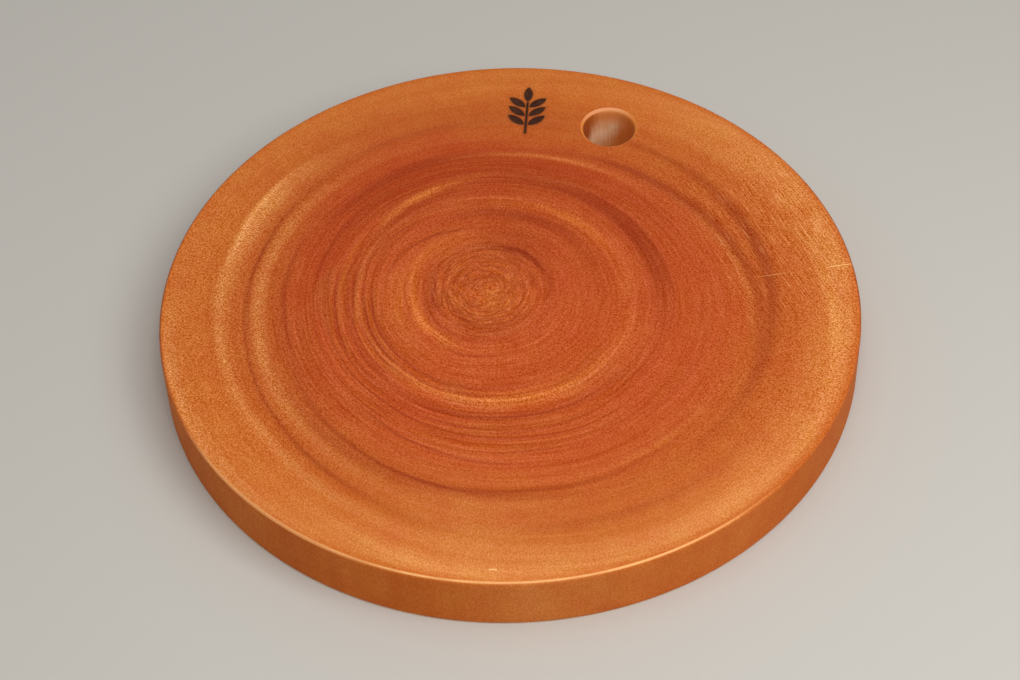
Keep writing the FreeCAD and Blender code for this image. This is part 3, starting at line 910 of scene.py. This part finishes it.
def burned_wood(look, trees):
    """Wood scorched by a hot iron."""
    material, w, shader, place = new_material("burned wood")
    pores = w.group(trees["pores"], place=place["Object"])
    patches = w.span(w.noise(place["Object"], *CHAR_PATCHES), 0.35, 0.75)
    pale = tuple(1.9 * level for level in look.char)
    tone = w.mixed(patches, look.char, pale)
    w.feed(shader["Base Color"], w.scaled(tone, w.plus(pores["Specks"], 1.0)))
    w.feed(shader["Roughness"], w.added(patches, 0.15, 0.55))
    w.feed(shader["Normal"], bumped(w, pores["Specks"], 0.3, 0.15 * MM))
    shader["Specular IOR Level"].default_value = 0.12
    return material


class Skin:
    """Points and faces of one closed mesh."""

    def __init__(self):
        self.points = []
        self.faces = []
        self.slots = []

    def point(self, x, y, z):
        """Add a point and give back its number."""
        self.points.append((x, y, z))
        return len(self.points) - 1

    def face(self, corners, slot):
        """Add a face that wears a material slot."""
        self.faces.append(tuple(corners))
        self.slots.append(slot)

    def bridge(self, first, second, slot):
        """Join two rings of as many points with a band of faces."""
        count = len(first)
        for here in range(count):
            after = (here + 1) % count
            self.face((first[here], first[after], second[after], second[here]), slot)

    def rings(self, profile, radius, count, centre_y=0.0):
        """Add a ring of points for each step of a profile, which gives how far out it lies and how high."""
        made = []
        for out, height in profile:
            made.append([self.point(p.x, p.y, height) for p in circle(radius + out, count, centre_y)])
        return made


OILED, BORED, BURNED = range(3)  # material slots of the slab
RIM_STEPS = 7  # faces across a rounded rim
SIDE_ROWS = 9  # faces up the side
BORE_ROWS = 14  # faces up the hole's wall
MOUTH_COUNT = 120  # points round the hole
LEAF_STEPS = 16  # faces along a leaf's flank
STEM_STEPS = 8  # faces round an end of the stem
SAME_POINT = 1e-7  # points nearer than this are one
MARK_WALL = 0.12 * MM  # how far the mark's walls lean in
MARK_MARGIN = 2.0 * MM  # how far the close points reach round the mark
CLEAR_SHARE = 0.4  # room between close points and the mark's outlines, as a share of their pitch
SCORCH_FADE = 0.45 * MM  # how fast the scorch fades round the mark
CHAR_SHARE = 0.15  # how uneven the mark's floor is, as a share of its depth
CHAR_WAVES = 900  # its unevenness, to the metre
SLOW_WAVES = 22  # waves that sanding left in the work face, to the metre
QUICK_WAVES = 70  # the ripples between them
SHARP_EDGE = math.radians(40)  # edges that turn further than this stay sharp


def circle(radius, count, centre_y=0.0):
    """Points of a circle about the block's axis, or about a point on +Y."""
    angles = [2 * math.pi * step / count for step in range(count)]
    return [Vector((radius * math.cos(a), centre_y + radius * math.sin(a))) for a in angles]


class Leaf:
    """A leaf of the mark: the overlap of two discs, about a midrib that leaves a foot at a lean."""

    def __init__(self, sizes, foot, lean):
        self.foot = Vector(foot)
        self.along = Vector((math.cos(lean), math.sin(lean)))
        self.across = Vector((-math.sin(lean), math.cos(lean)))
        self.length = sizes.leaf_length
        self.flank = (sizes.leaf_length**2 + sizes.leaf_width**2) / (4 * sizes.leaf_width)
        self.offset = self.flank - sizes.leaf_width / 2

    def distance(self, point):
        """How far a point lies outside the leaf; less than zero inside."""
        off = point - self.foot
        along = off.dot(self.along) - self.length / 2
        across = abs(off.dot(self.across)) + self.offset
        return math.hypot(along, across) - self.flank

    def outline(self, inset):
        """The leaf's edge, drawn in by an inset."""
        radius = self.flank - inset
        half = math.acos(self.offset / radius)
        middle = self.foot + self.along * (self.length / 2)
        points = []
        for side in (1, -1):
            for step in range(LEAF_STEPS):
                angle = side * half * (2 * step / LEAF_STEPS - 1)
                along = self.along * (radius * math.sin(angle))
                across = self.across * (side * (radius * math.cos(angle) - self.offset))
                points.append(middle + along + across)
        return points


class Stem:
    """The mark's straight stem, with round ends."""

    def __init__(self, sizes):
        self.half = sizes.stem_width / 2
        self.low = self.half
        self.high = sizes.mark_height - sizes.leaf_length - sizes.leaf_gap - self.half

    def distance(self, point):
        """How far a point lies outside the stem; less than zero inside."""
        along = min(max(point.y, self.low), self.high)
        return math.hypot(point.x, point.y - along) - self.half

    def outline(self, inset):
        """The stem's edge, drawn in by an inset."""
        radius = self.half - inset
        points = []
        for height, start in ((self.high, 0.0), (self.low, math.pi)):
            for step in range(STEM_STEPS + 1):
                angle = start + math.pi * step / STEM_STEPS
                points.append(Vector((radius * math.cos(angle), height + radius * math.sin(angle))))
        return points


class Mark:
    """The burned leaf sprig, in its own frame: the stem's foot at the origin, the stem along +Y."""

    def __init__(self, sizes):
        self.shapes = [Stem(sizes)]
        foot = sizes.stem_width / 2 + sizes.leaf_gap
        for pair in range(sizes.leaf_pairs):
            height = sizes.leaf_rise + pair * sizes.leaf_pitch
            for side in (1, -1):
                lean = QUARTER - side * sizes.leaf_spread
                self.shapes.append(Leaf(sizes, (side * foot, height), lean))
        self.shapes.append(Leaf(sizes, (0.0, sizes.mark_height - sizes.leaf_length), QUARTER))
        reach = sizes.diameter / 2 - sizes.mark_inset - sizes.mark_height / 2
        out = Vector((-math.sin(sizes.mark_bearing), math.cos(sizes.mark_bearing)))
        self.origin = out * reach
        self.out = out
        self.right = Vector((out.y, -out.x))
        self.height = sizes.mark_height

    def to_face(self, point):
        """A point of the mark's frame, in the block's."""
        return self.origin + self.right * point.x + self.out * point.y

    def from_face(self, point):
        """A point of the block's frame, in the mark's."""
        off = point - self.origin
        return Vector((off.dot(self.right), off.dot(self.out)))

    def distance(self, point):
        """How far a point of the block's frame lies outside the mark."""
        own = self.from_face(point)
        return min(shape.distance(own) for shape in self.shapes)

    def near(self, point, margin):
        """Whether a point of the block's frame may lie within a margin of the mark."""
        own = self.from_face(point)
        half = self.height / 2
        return abs(own.x) < half + margin and abs(own.y - half) < half + margin


def ring_points(radius, rings):
    """Evenly spread points of a disc, on rings of 6, 12, 18 and so on."""
    points = [Vector((0.0, 0.0))]
    for ring in range(1, rings):
        points += circle(radius * ring / rings, 6 * ring)
    return points


def mark_points(sizes, mark):
    """Close points in and around the mark, clear of its outlines."""
    pitch = sizes.mark_pitch
    row_pitch = pitch * math.sqrt(0.75)
    spare = CLEAR_SHARE * pitch
    side = sizes.mark_height + 2 * MARK_MARGIN
    rows = int(side / row_pitch)
    columns = int(side / pitch)
    points = []
    for row in range(rows):
        for column in range(columns):
            x = (column + 0.5 * (row % 2) - columns / 2) * pitch
            point = mark.to_face(Vector((x, row * row_pitch - MARK_MARGIN)))
            off = mark.distance(point)
            if spare < off < MARK_MARGIN or off < -MARK_WALL - spare:
                points.append(point)
    return points


def triangles(points, loops):
    """Triangles over a flat set of points that keep every loop's edges, with each corner's own number."""
    edges = []
    for loop in loops:
        edges += [(loop[step], loop[(step + 1) % len(loop)]) for step in range(len(loop))]
    found = geometry.delaunay_2d_cdt(points, edges, [], 0, SAME_POINT)
    own = [sources[0] for sources in found[3]]
    return [[own[corner] for corner in face] for face in found[2]]


class FacePlan:
    """Points of one flat face, whose first two loops are its rim and the hole's mouth."""

    def __init__(self, sizes, rim_count):
        self.radius = sizes.diameter / 2 - sizes.rim_rounding
        self.mouth_radius = sizes.hole_diameter / 2 + sizes.hole_chamfer
        self.hole = Vector((0.0, sizes.hole_reach))
        self.points = []
        self.loops = []
        self.add_loop(circle(self.radius, rim_count))
        self.add_loop(circle(self.mouth_radius, MOUTH_COUNT, sizes.hole_reach))

    def add_loop(self, loop):
        """Add a closed loop of points, whose edges the face keeps."""
        first = len(self.points)
        self.points.extend(loop)
        self.loops.append(list(range(first, len(self.points))))

    def spread(self, rings, pitch):
        """Points spread evenly over the face, clear of the hole."""
        spare = self.mouth_radius + 0.5 * pitch
        return [point for point in ring_points(self.radius, rings) if (point - self.hole).length > spare]

    def faces(self):
        """Triangles over all the points, apart from those in the hole, each with its middle."""
        in_hole = self.mouth_radius * math.cos(math.pi / MOUTH_COUNT)
        for face in triangles(self.points, self.loops):
            middle = (self.points[face[0]] + self.points[face[1]] + self.points[face[2]]) / 3
            if (middle - self.hole).length >= in_hole:
                yield face, middle


def sanded(x, y, amount):
    """How far hand sanding leaves a place of the work face below flat."""
    slow = noise.noise(Vector((x * SLOW_WAVES, y * SLOW_WAVES, 3.1)))
    quick = noise.noise(Vector((x * QUICK_WAVES, y * QUICK_WAVES, 7.7)))
    return -amount * (0.5 + 0.4 * slow + 0.1 * quick)


def add_work_face(skin, sizes, mark, rim_count, scorch):
    """The work face with the mark sunk into it; gives back its rim and the hole's mouth."""
    plan = FacePlan(sizes, rim_count)
    sunk = set()
    for shape in mark.shapes:
        plan.add_loop(mark.to_face(point) for point in shape.outline(0.0))
        plan.add_loop(mark.to_face(point) for point in shape.outline(MARK_WALL))
        sunk.update(plan.loops[-1])
    first_close = len(plan.points)
    plan.points.extend(mark_points(sizes, mark))
    sunk.update(n for n in range(first_close, len(plan.points)) if mark.distance(plan.points[n]) < 0)
    for point in plan.spread(rim_count // 6, sizes.face_pitch):
        if not mark.near(point, 2 * MARK_MARGIN) or mark.distance(point) > MARK_MARGIN:
            plan.points.append(point)
    numbers = []
    for number, point in enumerate(plan.points):
        depth = sanded(point.x, point.y, sizes.sanding)
        if number in sunk:
            uneven = noise.noise(Vector((*(point * CHAR_WAVES), 0.0)))
            depth -= sizes.mark_depth * (1 + CHAR_SHARE * uneven)
        numbers.append(skin.point(point.x, point.y, sizes.thickness + depth))
        if mark.near(point, 2 * MARK_MARGIN):
            scorch[numbers[-1]] = math.exp(-max(mark.distance(point), 0.0) / SCORCH_FADE)
    for face, middle in plan.faces():
        burned = mark.near(middle, MARK_MARGIN) and mark.distance(middle) < 0
        skin.face([numbers[n] for n in face], BURNED if burned else OILED)
    return [[numbers[n] for n in loop] for loop in plan.loops[:2]]


def add_resting_face(skin, sizes, rim_count):
    """The flat face underneath; gives back its rim and the hole's mouth."""
    plan = FacePlan(sizes, rim_count)
    plan.points.extend(plan.spread(round(plan.radius / sizes.rest_pitch), sizes.rest_pitch))
    numbers = [skin.point(point.x, point.y, 0.0) for point in plan.points]
    for face, _ in plan.faces():
        skin.face([numbers[n] for n in reversed(face)], OILED)
    return [[numbers[n] for n in loop] for loop in plan.loops]


def add_side(skin, sizes, upper, lower):
    """Both rounded rims and the side between them."""
    rounding = sizes.rim_rounding
    profile = []
    for step in range(1, RIM_STEPS + 1):
        angle = QUARTER * (1 - step / RIM_STEPS)
        profile.append((rounding * math.cos(angle), sizes.thickness - rounding + rounding * math.sin(angle)))
    wall = sizes.thickness - 2 * rounding
    for row in range(1, SIDE_ROWS + 1):
        profile.append((rounding, sizes.thickness - rounding - wall * row / SIDE_ROWS))
    for step in range(1, RIM_STEPS):
        angle = QUARTER * step / RIM_STEPS
        profile.append((rounding * math.cos(angle), rounding - rounding * math.sin(angle)))
    above = upper
    for below in (*skin.rings(profile, sizes.diameter / 2 - rounding, len(upper)), lower):
        skin.bridge(above, below, OILED)
        above = below


def add_bore(skin, sizes, upper, lower):
    """The hole's wall and the chamfers at its mouths."""
    chamfer = sizes.hole_chamfer
    soft = chamfer / 6
    cut = ((chamfer - soft, soft / 2), (soft / 2, chamfer - soft), (0.0, chamfer))
    profile = [(out, sizes.thickness - down) for out, down in cut]
    wall = sizes.thickness - 2 * chamfer
    profile += [(0.0, sizes.thickness - chamfer - wall * row / BORE_ROWS) for row in range(1, BORE_ROWS + 1)]
    profile += reversed(cut[:-1])
    above = upper
    for below in (*skin.rings(profile, sizes.hole_diameter / 2, len(upper), sizes.hole_reach), lower):
        skin.bridge(below, above, BORED)
        above = below


def slab_mesh(sizes):
    """The whole slab as one closed mesh, with the scorched edge of its mark as an attribute."""
    skin = Skin()
    scorch = {}
    flat_radius = sizes.diameter / 2 - sizes.rim_rounding
    rim_count = 6 * round(flat_radius / sizes.face_pitch)
    upper_rim, upper_mouth = add_work_face(skin, sizes, Mark(sizes), rim_count, scorch)
    lower_rim, lower_mouth = add_resting_face(skin, sizes, rim_count)
    add_side(skin, sizes, upper_rim, lower_rim)
    add_bore(skin, sizes, upper_mouth, lower_mouth)
    mesh = bpy.data.meshes.new(PIECE)
    mesh.from_pydata(skin.points, [], skin.faces)
    mesh.polygons.foreach_set("material_index", skin.slots)
    levels = mesh.attributes.new("scorch", "FLOAT", "POINT")
    levels.data.foreach_set("value", [scorch.get(n, 0.0) for n in range(len(skin.points))])
    if mesh.validate():
        raise RuntimeError("the slab's mesh had faults")
    mesh.shade_smooth()
    mesh.set_sharp_from_angle(angle=SHARP_EDGE)
    return mesh


class SLAB_OT_turn(bpy.types.Operator):
    """Build the slab and finish its wood"""

    bl_idname = "chopping_block.turn_slab"
    bl_label = "Turn the slab"

    def execute(self, context):
        sizes = context.scene.block_sizes
        look = context.scene.wood_look
        mesh = slab_mesh(sizes)
        rays = ray_group(look)
        trees = {
            "log": log_wood_group(look, sizes, rays),
            "rays": rays,
            "pores": pore_group(),
            "fibres": fibre_group(),
        }
        mesh.materials.append(oiled_wood(look, sizes, trees))
        mesh.materials.append(bored_wood(look, sizes, trees))
        mesh.materials.append(burned_wood(look, trees))
        slab = bpy.data.objects.new(PIECE, mesh)
        context.scene.collection.objects.link(slab)
        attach(slab, "root")
        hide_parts(NODE)
        return {"FINISHED"}


def add_floor(look):
    """A wide plain floor, which can't be seen from below."""
    corners = [(-FLOOR_HALF, -FLOOR_HALF), (FLOOR_HALF, -FLOOR_HALF)]
    corners += [(FLOOR_HALF, FLOOR_HALF), (-FLOOR_HALF, FLOOR_HALF)]
    mesh = bpy.data.meshes.new("floor")
    mesh.from_pydata([(x, y, -FLOOR_DROP) for x, y in corners], [], [(0, 1, 2, 3)])
    material = bpy.data.materials.new("pale floor")
    material.use_nodes = True
    material.node_tree.nodes.clear()
    w = Wiring(material.node_tree)
    matt = w.node("ShaderNodeBsdfDiffuse")
    w.feed(matt.inputs["Color"], look.floor)
    clear = w.node("ShaderNodeBsdfTransparent")
    # Far off it fades into the daylight, and it lets light from below reach what rests on it
    place = w.node("ShaderNodeTexCoord").outputs["Object"]
    faded = w.span(w.vector("LENGTH", place), *FLOOR_FADE_SPAN)
    touching = w.maths("LESS_THAN", w.node("ShaderNodeLightPath").outputs["Ray Length"], TOUCHING)
    open_to = w.maths("MAXIMUM", w.node("ShaderNodeNewGeometry").outputs["Backfacing"], touching)
    open_to = w.maths("MAXIMUM", open_to, faded)
    sides = w.fed(w.node("ShaderNodeMixShader"), open_to, matt.outputs[0], clear.outputs[0])
    w.feed(w.node("ShaderNodeOutputMaterial").inputs["Surface"], sides.outputs[0])
    mesh.materials.append(material)
    floor = bpy.data.objects.new("floor", mesh)
    bpy.context.scene.collection.objects.link(floor)


def add_softbox(name, azimuth, elevation, distance, size, power):
    """A square lamp that faces the block, placed as a camera would be."""
    turned = math.radians(azimuth)
    raised = math.radians(elevation)
    level = math.cos(raised)
    back = Vector((math.sin(turned) * level, -math.cos(turned) * level, math.sin(raised)))
    lamp = bpy.data.lights.new(name, "AREA")
    lamp.shape = "SQUARE"
    lamp.size = size
    lamp.energy = power
    item = bpy.data.objects.new(name, lamp)
    item.location = back * distance
    item.rotation_mode = "QUATERNION"
    item.rotation_quaternion = (-back).to_track_quat("-Z", "Y")
    bpy.context.scene.collection.objects.link(item)


def add_camera(look, sizes):
    """A camera at the photograph's own viewpoint."""
    a = look.azimuth
    e = look.elevation
    forward = Vector((-math.sin(a) * math.cos(e), math.cos(a) * math.cos(e), -math.sin(e)))
    level = Vector((math.cos(a), math.sin(a), 0.0))
    rise = level.cross(forward)
    right = level * math.cos(look.roll) + rise * math.sin(look.roll)
    up = rise * math.cos(look.roll) - level * math.sin(look.roll)
    data = bpy.data.cameras.new("camera")
    data.lens = look.lens
    data.sensor_width = SENSOR_WIDTH
    per_pixel = data.sensor_width / look.lens / PICTURE_WIDTH * look.depth
    across = (look.centre_across - PICTURE_WIDTH / 2) * per_pixel
    above = (PICTURE_HEIGHT / 2 - look.centre_down) * per_pixel
    centre = Vector((0.0, 0.0, sizes.thickness))
    camera = bpy.data.objects.new("camera", data)
    axes = Matrix((right, up, -forward)).transposed().to_4x4()
    spot = centre - forward * look.depth - right * across - up * above
    camera.matrix_world = Matrix.Translation(spot) @ axes
    bpy.context.scene.collection.objects.link(camera)
    bpy.context.scene.camera = camera


def add_daylight(look):
    """Even light from all round, pale where the camera sees it."""
    world = bpy.data.worlds.new("daylight")
    world.use_nodes = True
    world.node_tree.nodes.clear()
    w = Wiring(world.node_tree)
    path = w.node("ShaderNodeLightPath").outputs
    seen = w.maths("MAXIMUM", path["Is Camera Ray"], path["Is Glossy Ray"])
    seen = w.maths("MAXIMUM", seen, path["Is Transmission Ray"])
    sky = w.node("ShaderNodeBackground")
    heading_up = w.parts(w.node("ShaderNodeTexCoord").outputs["Generated"])[2]
    level = w.span(heading_up, -0.1, 0.0, look.light_from_below, look.daylight)
    w.feed(sky.inputs["Color"], w.mixed(seen, level, look.floor))
    w.feed(w.node("ShaderNodeOutputWorld").inputs["Surface"], sky.outputs[0])
    bpy.context.scene.world = world


class SLAB_OT_stage(bpy.types.Operator):
    """Set the floor, the light and the camera"""

    bl_idname = "chopping_block.set_stage"
    bl_label = "Set the stage"

    def execute(self, context):
        look = context.scene.stage_look
        add_floor(look)
        add_daylight(look)
        for softbox in SOFTBOXES:
            add_softbox(*softbox)
        add_camera(look, context.scene.block_sizes)
        context.scene.view_settings.view_transform = "Standard"
        return {"FINISHED"}


class SLAB_PT_panel(bpy.types.Panel):
    """The block's sizes, looks and steps"""

    bl_label = "Chopping block"
    bl_idname = "SLAB_PT_panel"
    bl_space_type = "VIEW_3D"
    bl_region_type = "UI"
    bl_category = "Chopping block"

    def draw(self, context):
        for operator in (SLAB_OT_turn, SLAB_OT_stage):
            self.layout.operator(operator.bl_idname)
        for holder in ("block_sizes", "wood_look", "stage_look"):
            group = getattr(context.scene, holder)
            box = self.layout.box()
            for name in group.__annotations__:
                box.prop(group, name)


CLASSES = (BlockSizes, WoodLook, StageLook, SLAB_OT_turn, SLAB_OT_stage, SLAB_PT_panel)


def register():
    """Make the classes and the scene's settings known to Blender."""
    for item in CLASSES:
        bpy.utils.register_class(item)
    bpy.types.Scene.block_sizes = bpy.props.PointerProperty(type=BlockSizes)
    bpy.types.Scene.wood_look = bpy.props.PointerProperty(type=WoodLook)
    bpy.types.Scene.stage_look = bpy.props.PointerProperty(type=StageLook)


def unregister():
    """Take the classes and the settings away again."""
    del bpy.types.Scene.stage_look
    del bpy.types.Scene.wood_look
    del bpy.types.Scene.block_sizes
    for item in reversed(CLASSES):
        bpy.utils.unregister_class(item)


def main():
    """Build the block and its stage."""
    register()
    bpy.ops.chopping_block.turn_slab()
    bpy.ops.chopping_block.set_stage()


if __name__ == "__main__":
    main()
